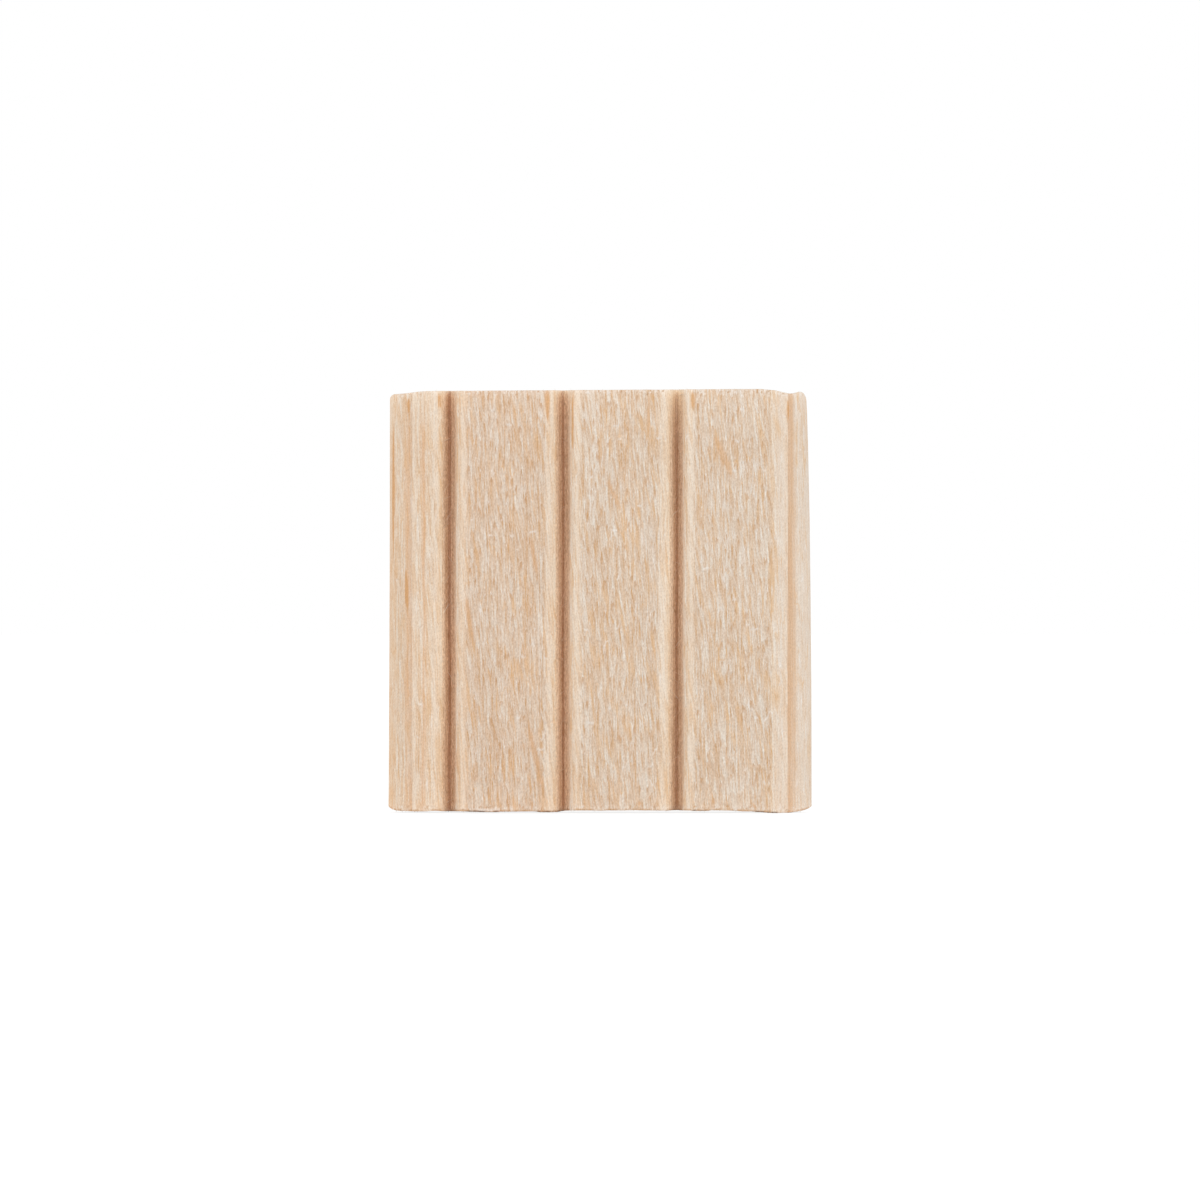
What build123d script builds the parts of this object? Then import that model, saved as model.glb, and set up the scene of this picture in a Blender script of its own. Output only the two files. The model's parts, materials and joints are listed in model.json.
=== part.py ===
from build123d import *

import os
from math import atan2, cos, sin, sqrt, tan

# Loose tenon: one moulded stick of hardwood, sawn to length. Both broad cheeks carry
# glue flutes, and both long edges are bullnosed. Millimetres. The tenon stands on one
# sawn end: X runs across the width, Y through the thickness and Z along the grain. The
# origin is the middle of the bottom end, and the front cheek faces -Y.

# The moulded stick
tenon_width = 38.1
tenon_thickness = 9.525
tenon_length = 38.1
corner_round = 0.35

# Glue flutes: V grooves along the grain, whose shoulders are rounded into the cheek
flute_count = 3
first_flute_inset = 5.54
flute_pitch = 10.19
flute_width = 1.4
flute_depth = 1.9
flute_root = 0.1
shoulder_radius = 0.8

# Quirk: the step that parts each rounded cheek margin from the nose of the long edge
quirk_inset = 2.2
quirk_step = 0.45

# Clearances of the cutters: past a surface that they only graze, and past the wood
graze = 0.006
overrun = 1.0

half_width = tenon_width / 2
half_thickness = tenon_thickness / 2


def moulded_blank():
    """The stick's section without flutes: a full-round slab that steps down to two noses."""
    quirk_x = half_width - quirk_inset
    margin_x = half_width - half_thickness
    past_margin = max(0, quirk_x - margin_x)
    margin_half = sqrt(half_thickness**2 - past_margin**2)
    nose_half = margin_half - quirk_step

    slab = SlotOverall(tenon_width, tenon_thickness)
    slab &= Rectangle(2 * quirk_x, tenon_thickness + 2 * overrun)
    foot = Line((quirk_x, -nose_half), (quirk_x, nose_half))
    bullnose = ThreePointArc((quirk_x, nose_half), (half_width, 0), (quirk_x, -nose_half))
    nose = make_face(foot + bullnose)
    return slab + nose + mirror(nose, about=Plane.YZ)


def flute_knife():
    """What one flute removes, for wood that lies below y = 0."""
    slope = atan2(flute_depth, (flute_width - flute_root) / 2)
    reach = shoulder_radius * tan(slope / 2)
    root = Vector(flute_root / 2, -flute_depth)
    flank_top = Vector(flute_width / 2 - reach * cos(slope), -reach * sin(slope))
    land = Vector(flute_width / 2 + reach, 0)

    flank = Line(root, flank_top)
    shoulder = TangentArc(flank_top, land, tangent=flank % 1)
    top = Polyline(land, (land.X, overrun), (0, overrun), (0, -flute_depth), root)
    half = make_face(flank + shoulder + top)
    return half + mirror(half, about=Plane.YZ)


def cheek_flutes():
    """The flutes of the front cheek, counted from its left edge."""
    knife = Rot(Z=180) * flute_knife()
    cheek_y = -half_thickness - graze
    first_x = -half_width + first_flute_inset
    places = [Pos(first_x + i * flute_pitch, cheek_y) for i in range(flute_count)]
    return [place * knife for place in places]


def fluted_section():
    """Front and back match after half a turn about Z, so their flutes are staggered."""
    front = cheek_flutes()
    back = [Rot(Z=180) * flute for flute in front]
    return moulded_blank() - front - back


def corner_plate():
    """A plate with rounded corners, which eases the four outer corners of the ends."""
    outline = RectangleRounded(tenon_width + 2 * graze, tenon_length + 2 * graze, corner_round)
    outline = Plane.XZ * Pos(0, tenon_length / 2) * outline
    return extrude(outline, amount=tenon_thickness, both=True)


def tenon():
    stick = extrude(fluted_section(), amount=tenon_length)
    return stick & corner_plate()


os.makedirs("parts", exist_ok=True)
export_step(tenon(), "parts/tenon.step")
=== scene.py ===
import json
import math
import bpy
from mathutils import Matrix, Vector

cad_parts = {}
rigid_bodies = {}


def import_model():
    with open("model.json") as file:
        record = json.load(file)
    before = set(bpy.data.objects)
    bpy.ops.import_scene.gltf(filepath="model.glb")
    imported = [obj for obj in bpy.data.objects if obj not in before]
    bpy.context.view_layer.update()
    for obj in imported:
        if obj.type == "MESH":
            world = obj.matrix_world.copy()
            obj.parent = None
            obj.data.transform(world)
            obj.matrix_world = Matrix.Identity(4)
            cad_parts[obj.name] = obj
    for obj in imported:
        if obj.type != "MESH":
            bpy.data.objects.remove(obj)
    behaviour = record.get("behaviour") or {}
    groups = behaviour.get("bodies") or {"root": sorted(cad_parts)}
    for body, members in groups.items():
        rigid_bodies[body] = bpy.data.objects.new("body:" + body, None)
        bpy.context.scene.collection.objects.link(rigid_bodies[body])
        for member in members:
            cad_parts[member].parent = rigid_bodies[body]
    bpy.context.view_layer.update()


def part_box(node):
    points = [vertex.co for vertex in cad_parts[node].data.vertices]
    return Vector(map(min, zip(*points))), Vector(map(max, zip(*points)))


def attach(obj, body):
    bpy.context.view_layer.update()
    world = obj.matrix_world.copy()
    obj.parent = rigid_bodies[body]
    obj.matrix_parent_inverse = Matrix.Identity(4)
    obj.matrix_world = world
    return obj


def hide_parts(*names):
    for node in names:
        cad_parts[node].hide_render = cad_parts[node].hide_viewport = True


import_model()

from types import SimpleNamespace

import bpy
import numpy as np
from mathutils import Vector
from mathutils.bvhtree import BVHTree
from mathutils.geometry import delaunay_2d_cdt

# Lengths below are millimetres. The frame is in metres.
MM = 0.001

low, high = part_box("tenon")
WIDTH = (high.x - low.x) / MM
THICKNESS = (high.y - low.y) / MM
LENGTH = (high.z - low.z) / MM
HALF_WIDTH = WIDTH / 2
HALF_THICKNESS = THICKNESS / 2

# The moulded section, as in the part's source
FLUTE_COUNT = 3
FIRST_FLUTE_INSET = 5.54
FLUTE_PITCH = 10.19
FLUTE_WIDTH = 1.4
FLUTE_DEPTH = 1.9
FLUTE_ROOT = 0.1
SHOULDER_RADIUS = 0.8
QUIRK_INSET = 2.2
QUIRK_STEP = 0.45

FLUTE_SLOPE = math.atan2(FLUTE_DEPTH, (FLUTE_WIDTH - FLUTE_ROOT) / 2)
FLUTE_HALF = FLUTE_WIDTH / 2 + SHOULDER_RADIUS * math.tan(FLUTE_SLOPE / 2)
FLUTES = [FIRST_FLUTE_INSET - HALF_WIDTH + i * FLUTE_PITCH for i in range(FLUTE_COUNT)]
QUIRK_X = HALF_WIDTH - QUIRK_INSET
MARGIN_X = HALF_WIDTH - HALF_THICKNESS
MARGIN_HALF = math.sqrt(HALF_THICKNESS**2 - max(0, QUIRK_X - MARGIN_X) ** 2)
NOSE_HALF = MARGIN_HALF - QUIRK_STEP
NOSE_RADIUS = (NOSE_HALF**2 + QUIRK_INSET**2) / (2 * QUIRK_INSET)

# The mesh: steps round the section, rows along the grain, and points inside a sawn end
OUTLINE_STEP = 0.125
OUTLINE_SAMPLES = 20001
ROW_STEP = 0.44
END_ROWS = (0.0, 0.03, 0.08, 0.16, 0.28, 0.42, 0.58, 0.78, 1.0)
CAP_STEP = 0.34
SHARP_ANGLE = math.radians(38)

# How the flutes of this stick differ from the drawing, and the packed fibre in their roots
FLUTE_SHIFT = 0.05
CREASE_LEAN = -0.05
FLANK_STEEPER = 0.08
FLUTE_WOBBLE = 0.035
ROOT_FILL = 0.3
END_FILL = 0.2
END_FILL_REACH = 0.5

# Relief of the surface, and how far all of it is sunk into the wood
FIBRE_RELIEF = 0.009
STREAK_RELIEF = 0.012
FLUTE_NAP = 0.03
SWELL = 0.025
CHIP_DEPTH = 0.07
ARRIS = 0.09
ARRIS_LIMITS = (0.03, 0.2)
SAW_RELIEF = 0.035
SUNK = 0.02
LEAST_SUNK = 0.002

# How much narrower the right (1) and left (-1) nose is at the top, and how that sets in
NOSE_TAPER = {1: 0.46, -1: 0.155}
TAPER_POWER = {1: 2.4, -1: 0.6}

# Width and height of each worn corner, by end (0 lower, 1 upper) and side
WORN_CORNER = {(0, -1): (1.1, 0.46), (0, 1): (2.2, 0.55)}
WORN_CORNER.update({(1, -1): (0.5, 0.4), (1, 1): (0.5, 0.6)})
CORNER_SWEEP = 0.96

# The upper end: its highest place, the fall from there, the wear by each nose, and a dip
# and a curl of wood, which have a place, a half width and a height
TOP_CLEAR = 0.09
TOP_PEAK_X = 0.74 * HALF_WIDTH
END_TILT = 0.0062
NOSE_END_WEAR = {1: 0.38, -1: 0.22}
NOSE_WEAR_SPAN = {1: (14.9, 17.3), -1: (15.4, 18.3)}
TOP_DIP = (15.1, 0.8, 0.06)
TOP_CURL = (17.95, 0.8, 0.18)

# The lower end: an arch between its feet, a notch, and a splinter that reaches down to the
# plane of the end, with a low corner to the right of it
BOTTOM_CLEAR = 0.15
BOTTOM_ARCH = 0.09
ARCH_START, ARCH_END = (-3.6, -2.4), (11.5, 14)
BOTTOM_NOTCH = (-14.7, 1.0, 0.06)
SPLINTER = (15.8, 2.0, 1.0)
LOW_CORNER = 0.09
LOW_CORNER_START = (16.3, 17.2)

# How deep these marks reach from the front, and how far along the grain an end is felt
CURL_REACH = (1.0, -2.0)
FRONT_REACH = (0.5, -3.5)
END_SPREAD = 4.0

# Places along the lower front arris where a dark line of painted contact shadow lies, and where the
# end dips a little lower: middle, half width
SHADOW_LINE_SPANS = ((-10.5, 1.9), (-4.6, 1.4), (9.0, 1.1), (14.9, 1.4))
SHADOW_LINE_DIP = 0.05

# A pale splinter along that arris: where it starts and fades, its height and half its width
PALE_SPLINTER = ((-11.4, -11.0), (-9.0, -8.6))
PALE_SPLINTER_Z = (0.18, 0.17)

# How much painted light brightens the upper end of each flute, where light gets in at its open end,
# and how far down that reaches
FLUTE_END_LIGHT_STRENGTH = (0.35, 0.58, 0.85)
FLUTE_END_LIGHT_REACH = (0.45, 0.8, 2.1)

# The clearest amber streaks of the front: x, z, half width, half length, lean to the right
# going down. Fainter ones are drawn for both cheeks.
CLEAR_STREAKS = (
    (-18.68, 29, 0.13, 6.8, 0),
    (-17.2, 36.6, 0.15, 1, 0),
    (-14.42, 37.05, 0.15, 0.9, 0),
    (-17.4, 20, 0.2, 2, 0.03),
    (-11.7, 17.3, 0.25, 2.6, 0.14),
    (-5.95, 23.1, 0.22, 2, 0.18),
    (-5.75, 5, 0.26, 3.9, 0.23),
    (1.2, 28.6, 0.26, 1.5, 0.45),
    (11.05, 32, 0.4, 2.2, 0.43),
    (16.87, 36.3, 0.16, 1.15, 0),
    (-4.75, 36.9, 0.24, 1.9, 0),
    (-2.48, 34.9, 0.13, 3.2, 0),
    (4.35, 35.6, 0.13, 2.2, -0.03),
    (8.35, 37, 0.2, 0.9, 0),
    (10.15, 1, 0.13, 0.5, 0.15),
    (3.55, 0.75, 0.17, 0.3, 0),
    (13.85, 0.5, 0.2, 0.35, 0.5),
    (-6.1, 0.5, 0.12, 0.6, 0),
)
FAINT_STREAKS = 11
FAINT_LEAST = (-14.0, 3.0, 0.12, 0.7, 0.05)
FAINT_MOST = (14.0, 35.0, 0.22, 2.2, 0.3)
FAINT_FRONT, FAINT_BACK = 0.6, 0.7

# Bands along the margins: place, half width, strength. The one at -15.8 is a darker streak of the
# wood; those by the quirks are painted shade at the foot of the quirk step.
BANDS_AND_QUIRK_SHADE = ((-17.2, 0.6, 0.7), (-15.8, 0.3, 0.9), (17.1, 0.8, 1.5))
BAND_WANDER = 0.14
BAND_FADE = (LENGTH - 5.5, LENGTH - 0.9)

# Seeded noises of the mesh: cell across and along the grain, seed, octaves if not two
GRAINS = {
    "coarse": (1.1, 6.0, 11),
    "lean": (1.6, 4.5, 12, 1),
    "fleck": (0.27, 1.5, 13),
    "streak": (0.26, 22.0, 14),
    "nap": (0.3, 0.9, 15),
    "swell": (5.0, 14.0, 16, 1),
    "arris": (0.55, 1.0, 17),
    "flute_drift": (1.0, 7.0, 18),
    "flute_shiver": (1.0, 1.3, 19),
    "ragged": (0.6, 1.0, 21),
    "blotch": (0.33, 1.0, 22),
    "band_wander": (1.0, 8.0, 23),
    "crumbs": (0.34, 0.42, 24),
    "bottom": (3.1, 4.0, 51),
    "top": (2.3, 3.0, 52),
}

# Where masks set in and fade: away from a flute or the quirk, or in x
FLUTE_FADE = (0.42, 0.86)
CREASE_FADE = (0.03, 0.1)
RIDGE_START, RIDGE_FADE = (0.7, 1.15), (1.25, 1.8)
LEFT_FLANK_LOW = ((0.03, 0.12), (0.33, 0.48))
LEFT_FLANK_HIGH = ((0.55, 0.72), (0.95, 1.12))
RIGHT_FLANK = ((0.36, 0.46), (0.62, 0.8))
QUIRK_FADE = (0.1, 0.6)
RIGHT_MARGIN, LEFT_MARGIN = (15.1, 15.6), (-14.7, -15.2)
FAIR_START = (15.3, 16.0)
TIP_FADE = (HALF_WIDTH - 0.9, HALF_WIDTH - 0.2)

# How far from an end its marks reach, and the levels of noise at which they set in
EDGE_REACH = (0.3, 0.85)
# The next two: how far up the painted contact shadow reaches, along the whole foot and along the
# lower front arris
FOOT_SHADOW_REACH = (0.1, 0.24)
SHADOW_LINE_REACH = (0.06, 0.17)
FOOT_REACH = (0.14, 0.4)
HEM_REACH = 1.6
SHOULDER_END_REACH = 0.6
CHIP_LEVEL = (0.4, 0.6)
CRUMB_LEVEL = (0.3, 0.55)
FOOT_SHADOW_LEVEL = (-0.4, 0.3)
BLOTCH_LEVEL = (-0.5, 0.25)

# The centre of the arcs that a large round blade left on both ends
SAW_PIVOT = (-60, -95)


# --- small helpers ---


def rise(span, value):
    """0 before the span and 1 past it, with a smooth step between."""
    t = np.clip((value - span[0]) / (span[1] - span[0]), 0, 1)
    return t * t * (3 - 2 * t)


def fade(span, value):
    """1 before the span and 0 past it."""
    return 1 - rise(span, value)


def strip(start, end, value):
    """0, then 1 between the two spans, and 0 again."""
    return rise(start, value) * fade(end, value)


def bump_at(value, centre, half, height=1):
    """A smooth hump, as high as height at the centre and 0 from half away."""
    return height * fade((0, half), np.abs(value - centre))


def add_object(name, data):
    made = bpy.data.objects.new(name, data)
    bpy.context.collection.objects.link(made)
    return made


def smooth_mesh(name, points, faces):
    """Its points are given in metres."""
    mesh = bpy.data.meshes.new(name)
    mesh.from_pydata([tuple(point) for point in points], [], faces)
    mesh.polygons.foreach_set("use_smooth", np.ones(len(faces), bool))
    return mesh


def grain(u, v, cell_u, cell_v, seed, octaves=2):
    """Smooth seeded noise, about -1 to 1, whose cells measure cell_u by cell_v."""
    table = 512
    off_zero = (200.37, 200.61)
    gain, fainter = 1.6, 0.55
    total = np.zeros(np.broadcast(u, v).shape)
    weight_sum = 0.0
    for octave in range(octaves):
        generator = np.random.default_rng(seed * 31 + octave)
        angles = generator.uniform(0, 2 * math.pi, (table, table))
        a = (u * 2**octave) / cell_u + off_zero[0]
        b = (v * 2**octave) / cell_v + off_zero[1]
        a0, b0 = np.floor(a).astype(int), np.floor(b).astype(int)
        fa, fb = a - a0, b - b0
        wa, wb = fa**3 * (fa * (fa * 6 - 15) + 10), fb**3 * (fb * (fb * 6 - 15) + 10)
        corner = {}
        for da in (0, 1):
            for db in (0, 1):
                angle = angles[(a0 + da) % table, (b0 + db) % table]
                corner[da, db] = np.cos(angle) * (fa - da) + np.sin(angle) * (fb - db)
        near = corner[0, 0] * (1 - wa) + corner[1, 0] * wa
        far = corner[0, 1] * (1 - wa) + corner[1, 1] * wa
        weight = fainter**octave
        total += gain * weight * (near * (1 - wb) + far * wb)
        weight_sum += weight
    return total / weight_sum


# --- the moulded section ---


def flute_depth_at(offset):
    """Depth below the cheek at a distance from the centre line of a flute."""
    away = np.abs(offset)
    flank = FLUTE_DEPTH - (away - FLUTE_ROOT / 2) * math.tan(FLUTE_SLOPE)
    on_round = np.clip(FLUTE_HALF - away, 0, SHOULDER_RADIUS)
    shoulder = SHOULDER_RADIUS - np.sqrt(SHOULDER_RADIUS**2 - on_round**2)
    tangent_at = FLUTE_HALF - SHOULDER_RADIUS * math.sin(FLUTE_SLOPE)
    depth = np.where(away < tangent_at, np.minimum(flank, FLUTE_DEPTH), shoulder)
    return np.where(away < FLUTE_HALF, depth, 0.0)


def front_depth(x):
    """How far the front surface lies behind the plane of the cheek."""
    away = np.abs(x)
    past = np.clip(away - MARGIN_X, 0, HALF_THICKNESS)
    margin = HALF_THICKNESS - np.sqrt(HALF_THICKNESS**2 - past**2)
    from_centre = np.clip(away - (HALF_WIDTH - NOSE_RADIUS), 0, NOSE_RADIUS)
    nose = HALF_THICKNESS - np.sqrt(NOSE_RADIUS**2 - from_centre**2)
    depth = np.where(away > QUIRK_X, nose, margin)
    for centre in FLUTES:
        depth = np.maximum(depth, flute_depth_at(x - centre))
    return depth


def front_outline():
    """Evenly spaced points of the front, left to right, with its corners."""
    hair = 1e-4
    corners = [-HALF_WIDTH, HALF_WIDTH]
    for side in (-1, 1):
        corners += [side * (QUIRK_X - hair), side * (QUIRK_X + hair)]
    for centre in FLUTES:
        corners += [centre - FLUTE_ROOT / 2, centre + FLUTE_ROOT / 2]
    sweep = -HALF_WIDTH * np.cos(np.linspace(0, math.pi, OUTLINE_SAMPLES))
    x = np.sort(np.concatenate([sweep, corners]))
    y = front_depth(x) - HALF_THICKNESS
    run = np.concatenate([[0], np.cumsum(np.hypot(np.diff(x), np.diff(y)))])
    stops = np.interp(sorted(corners), x, run)
    places = [np.zeros(1)]
    for start, end in zip(stops[:-1], stops[1:]):
        count = max(1, round((end - start) / OUTLINE_STEP))
        places.append(start + (end - start) * np.arange(1, count + 1) / count)
    places = np.concatenate(places)
    return np.stack([np.interp(places, run, x), np.interp(places, run, y)], 1), places


def ring_arrays():
    """The whole section as a closed ring: the front, then the same turned half a turn."""
    front, run = front_outline()
    points = np.concatenate([front, -front[1:-1]])
    run = np.concatenate([run, run[-1] + run[1:-1]])
    ahead, behind = np.roll(points, -1, 0), np.roll(points, 1, 0)
    along = ahead - behind
    along /= np.linalg.norm(along, axis=1)[:, None]
    inward = np.stack([-along[:, 1], along[:, 0]], 1)
    return points, run, inward, len(front)


def tapered(x, height):
    """x with the noses narrowed as at a height from 0, the foot, to 1, the top."""
    for side, taper in NOSE_TAPER.items():
        past = np.clip((side * x - QUIRK_X) / QUIRK_INSET, 0, 1)
        x = x - side * past * taper * height ** TAPER_POWER[side]
    return x


# --- the ends of the stick ---


def nose_corner(x, at_top):
    """How far the worn corners of the stick stand back from an end."""
    back = 0 * x
    for side in (-1, 1):
        wide, tall = WORN_CORNER[at_top, side]
        past = side * x - (HALF_WIDTH - NOSE_TAPER[side] * at_top)
        arc = CORNER_SWEEP * np.clip((past + wide) / wide, 0, 1)
        back = back + tall * (1 - np.sqrt(1 - arc**2)) / (1 - math.sqrt(1 - CORNER_SWEEP**2))
    return back


def saw_marks(x, y, seed):
    """Relief of a sawn end: the arcs that the blade left, and torn fibre."""
    arc = np.hypot(x - SAW_PIVOT[0], y - SAW_PIVOT[1])
    arcs = grain(arc, x * 0.05, 0.5, 3.0, seed)
    torn = grain(x, y, 0.35, 0.35, seed + 1)
    return SAW_RELIEF * (0.55 * arcs + 0.6 * torn)


def on_shadow_line(x):
    """1 where the dark line of painted contact shadow lies along the lower front arris."""
    return sum(rise((0, 0.35), bump_at(x, middle, half)) for middle, half in SHADOW_LINE_SPANS)


def bottom_z(x, y):
    """Height of the lower end, which stands on its lowest places."""
    by_front = rise(FRONT_REACH, y)
    level = BOTTOM_CLEAR + 0.045 * grain(x, y * 0.4, *GRAINS["bottom"])
    level = level + 0.6 * saw_marks(x, y, 61)
    level = level + BOTTOM_ARCH * rise(ARCH_START, x) * fade(ARCH_END, x)
    level = level - SHADOW_LINE_DIP * on_shadow_line(x) * by_front
    level = level + bump_at(x, *BOTTOM_NOTCH)
    splinter = bump_at(x, *SPLINTER) * by_front
    level = level * (1 - splinter) - LOW_CORNER * rise(LOW_CORNER_START, x)
    return np.maximum(level, 0) + nose_corner(x, 0)


def top_z(x, y):
    """Height of the upper end."""
    curl = bump_at(x, *TOP_CURL) * rise(CURL_REACH, y)
    right = NOSE_END_WEAR[1] * rise(NOSE_WEAR_SPAN[1], x) + bump_at(x, *TOP_DIP) - curl
    left = NOSE_END_WEAR[-1] * rise(NOSE_WEAR_SPAN[-1], -x)
    drop = TOP_CLEAR + END_TILT * np.abs(TOP_PEAK_X - x) + np.where(x > 0, right, left)
    drop = drop + 0.02 * grain(x, y * 0.4, *GRAINS["top"]) + 0.5 * saw_marks(x, y, 71)
    return LENGTH - np.maximum(drop, 0) - nose_corner(x, 1)


# --- the stick ---


def survey():
    """Where each point of the moulded surface lies, in rows along the grain."""
    points, run, inward, front_count = ring_arrays()
    half_turn = np.where(np.arange(len(points)) < front_count, 1.0, -1.0)
    section_x = points[:, 0] * half_turn
    offsets = np.stack([section_x - centre for centre in FLUTES])
    which = np.abs(offsets).argmin(0)
    last = END_ROWS[-1]
    middle = np.arange(last + ROW_STEP, LENGTH - last - ROW_STEP / 2, ROW_STEP)
    rows = np.concatenate([END_ROWS, middle, LENGTH - np.array(END_ROWS[::-1])])
    z = rows[:, None] + 0 * run[None]
    return SimpleNamespace(
        x=points[None, :, 0],
        y=points[None, :, 1],
        z=z,
        run=run[None] + 0 * z,
        inward=inward,
        front_count=front_count,
        half_turn=half_turn,
        front=(half_turn > 0)[None] + 0 * z,
        section_x=section_x,
        offset=np.take_along_axis(offsets, which[None], 0)[0],
        which=which,
        from_end=np.minimum(z, LENGTH - z),
        on_upper_half=z > LENGTH / 2,
        nose=(np.abs(section_x) > QUIRK_X)[None] + 0 * z,
        off_tip=fade(TIP_FADE, np.abs(section_x))[None],
    )


def zones(at):
    """Masks across the section. That of the flutes' flanks is negative on the left ones."""
    away = np.abs(at.offset)
    to_quirk = QUIRK_X - np.abs(at.section_x)
    beside_quirk = np.where(to_quirk < 0, WIDTH, to_quirk)
    ridge = strip(RIDGE_START, RIDGE_FADE, away)
    margin = rise(RIGHT_MARGIN, at.section_x) + rise(LEFT_MARGIN, at.section_x)
    left_flank = strip(*LEFT_FLANK_LOW, away) + strip(*LEFT_FLANK_HIGH, away)
    across = {
        "flute": fade(FLUTE_FADE, np.abs(at.offset + 0.1)),
        # Painted shade along the root of each flute, where shade falls in the crease
        "crease": fade(CREASE_FADE, away),
        # Painted light on the flutes' flanks, which face the light differently
        "flank": np.where(at.offset < 0, -left_flank, strip(*RIGHT_FLANK, away)),
        "ridge": np.maximum(ridge, fade(QUIRK_FADE, beside_quirk)),
        "milled": np.clip(np.maximum(margin, fade(RIDGE_FADE, away)), 0, 1),
    }
    return {name: mask[None] + 0 * at.z for name, mask in across.items()}


def band_and_quirk_shade_mask(x, z):
    """The darker bands of the margins, which wander along the grain: a streak of the wood, and
    painted shade at the foot of each quirk step.
    """
    total = 0 * x * z
    for number, (middle, half, strength) in enumerate(BANDS_AND_QUIRK_SHADE):
        wander = grain(40.0 * number + 0 * z, z, *GRAINS["band_wander"])
        place = bump_at(x + BAND_WANDER * wander, middle, half)
        if middle < 0:
            place = place * fade(BAND_FADE, z)
        total = total + strength * (1 + 0.35 * wander) * place
    return total


def faint_streaks(seed):
    generator = np.random.default_rng(seed)
    return generator.uniform(FAINT_LEAST, FAINT_MOST, (FAINT_STREAKS, 5))


def streak_mask(x, z, streaks):
    """Slender streaks with soft edges, each on its own slant."""
    total = 0 * x * z
    for at_x, at_z, half_width, half_length, lean in streaks:
        across = (x - at_x + lean * (z - at_z)) / half_width
        along = (z - at_z) / half_length
        total = np.maximum(total, fade((0.55, 1.3), np.hypot(across, along)))
    return total


def amber_mask(at):
    """Clear and faint amber streaks on the front, and faint ones on the back."""
    x = at.section_x[None]
    clear = streak_mask(x, at.z, CLEAR_STREAKS)
    faint_front = streak_mask(x, at.z, faint_streaks(31))
    faint_back = streak_mask(x, at.z, faint_streaks(32))
    front = np.maximum(clear, FAINT_FRONT * faint_front)
    return np.where(at.front > 0, front, FAINT_BACK * faint_back)


def torn_edges(at, flute):
    """Masks of the chips and of the pale crumbs along the sawn arrises."""
    edge = fade(EDGE_REACH, at.from_end) * (1 - flute) * at.off_tip
    crumbs = grain(at.run, at.z + 60.0 * at.on_upper_half, *GRAINS["crumbs"])
    return rise(CHIP_LEVEL, crumbs) * edge, rise(CRUMB_LEVEL, -crumbs) * edge


def surface_relief(at, masks):
    """Height of the torn, streaked and napped fibre over the moulded section."""
    flute, milled = masks["flute"], masks["milled"]
    coarse = grain(at.run, at.z, *GRAINS["coarse"])
    lean = 0.12 * grain(at.run, at.z, *GRAINS["lean"])
    fleck = grain(at.run + lean, at.z, *GRAINS["fleck"])
    streak = grain(at.run, at.z, *GRAINS["streak"])
    relief = FIBRE_RELIEF * (0.85 * fleck + 0.3 * coarse) * (1 - milled) * (1 - at.nose)
    relief += STREAK_RELIEF * streak * np.maximum(milled, at.nose) * (1 - flute)
    relief += FLUTE_NAP * grain(at.run, at.z, *GRAINS["nap"]) * flute
    relief += SWELL * grain(at.run, at.z, *GRAINS["swell"]) * (1 - flute)
    relief -= CHIP_DEPTH * masks["chip"]
    return relief


def eased_arris(at):
    """How far the surface is rounded in beside the sawn ends."""
    arris = ARRIS * (1 + 0.7 * grain(at.run, 50 * at.on_upper_half, *GRAINS["arris"]))
    arris = np.clip(arris, *ARRIS_LIMITS)
    short = np.clip(arris - at.from_end, 0, arris)
    return 0.8 * (arris - np.sqrt(arris**2 - short**2)) * at.off_tip


def bent_flutes(at, x, y):
    """The surface with its flutes as this stick has them."""
    away = np.abs(at.offset)
    at_flute, at_root = fade((0.7, 1.3), away)[None], fade((0.05, 0.9), away)[None]
    left_flank = strip((0.1, 0.45), (0.75, 1.25), -at.offset)[None]
    filled = fade((0.05, 0.35), away)[None]

    lane = at.which[None] * 40
    drift = grain(lane + 300 * (at.half_turn[None] < 0), at.z, *GRAINS["flute_drift"])
    drift = drift + 0.5 * grain(lane + 90.0, at.z, *GRAINS["flute_shiver"])
    sideways = at_flute * (FLUTE_SHIFT + FLUTE_WOBBLE * drift) + at_root * CREASE_LEAN
    x = x + at.half_turn * (sideways + left_flank * FLANK_STEEPER)
    fill = ROOT_FILL + END_FILL * np.exp((at.z - LENGTH) / END_FILL_REACH)
    return x, y - at.half_turn * filled * fill


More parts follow.
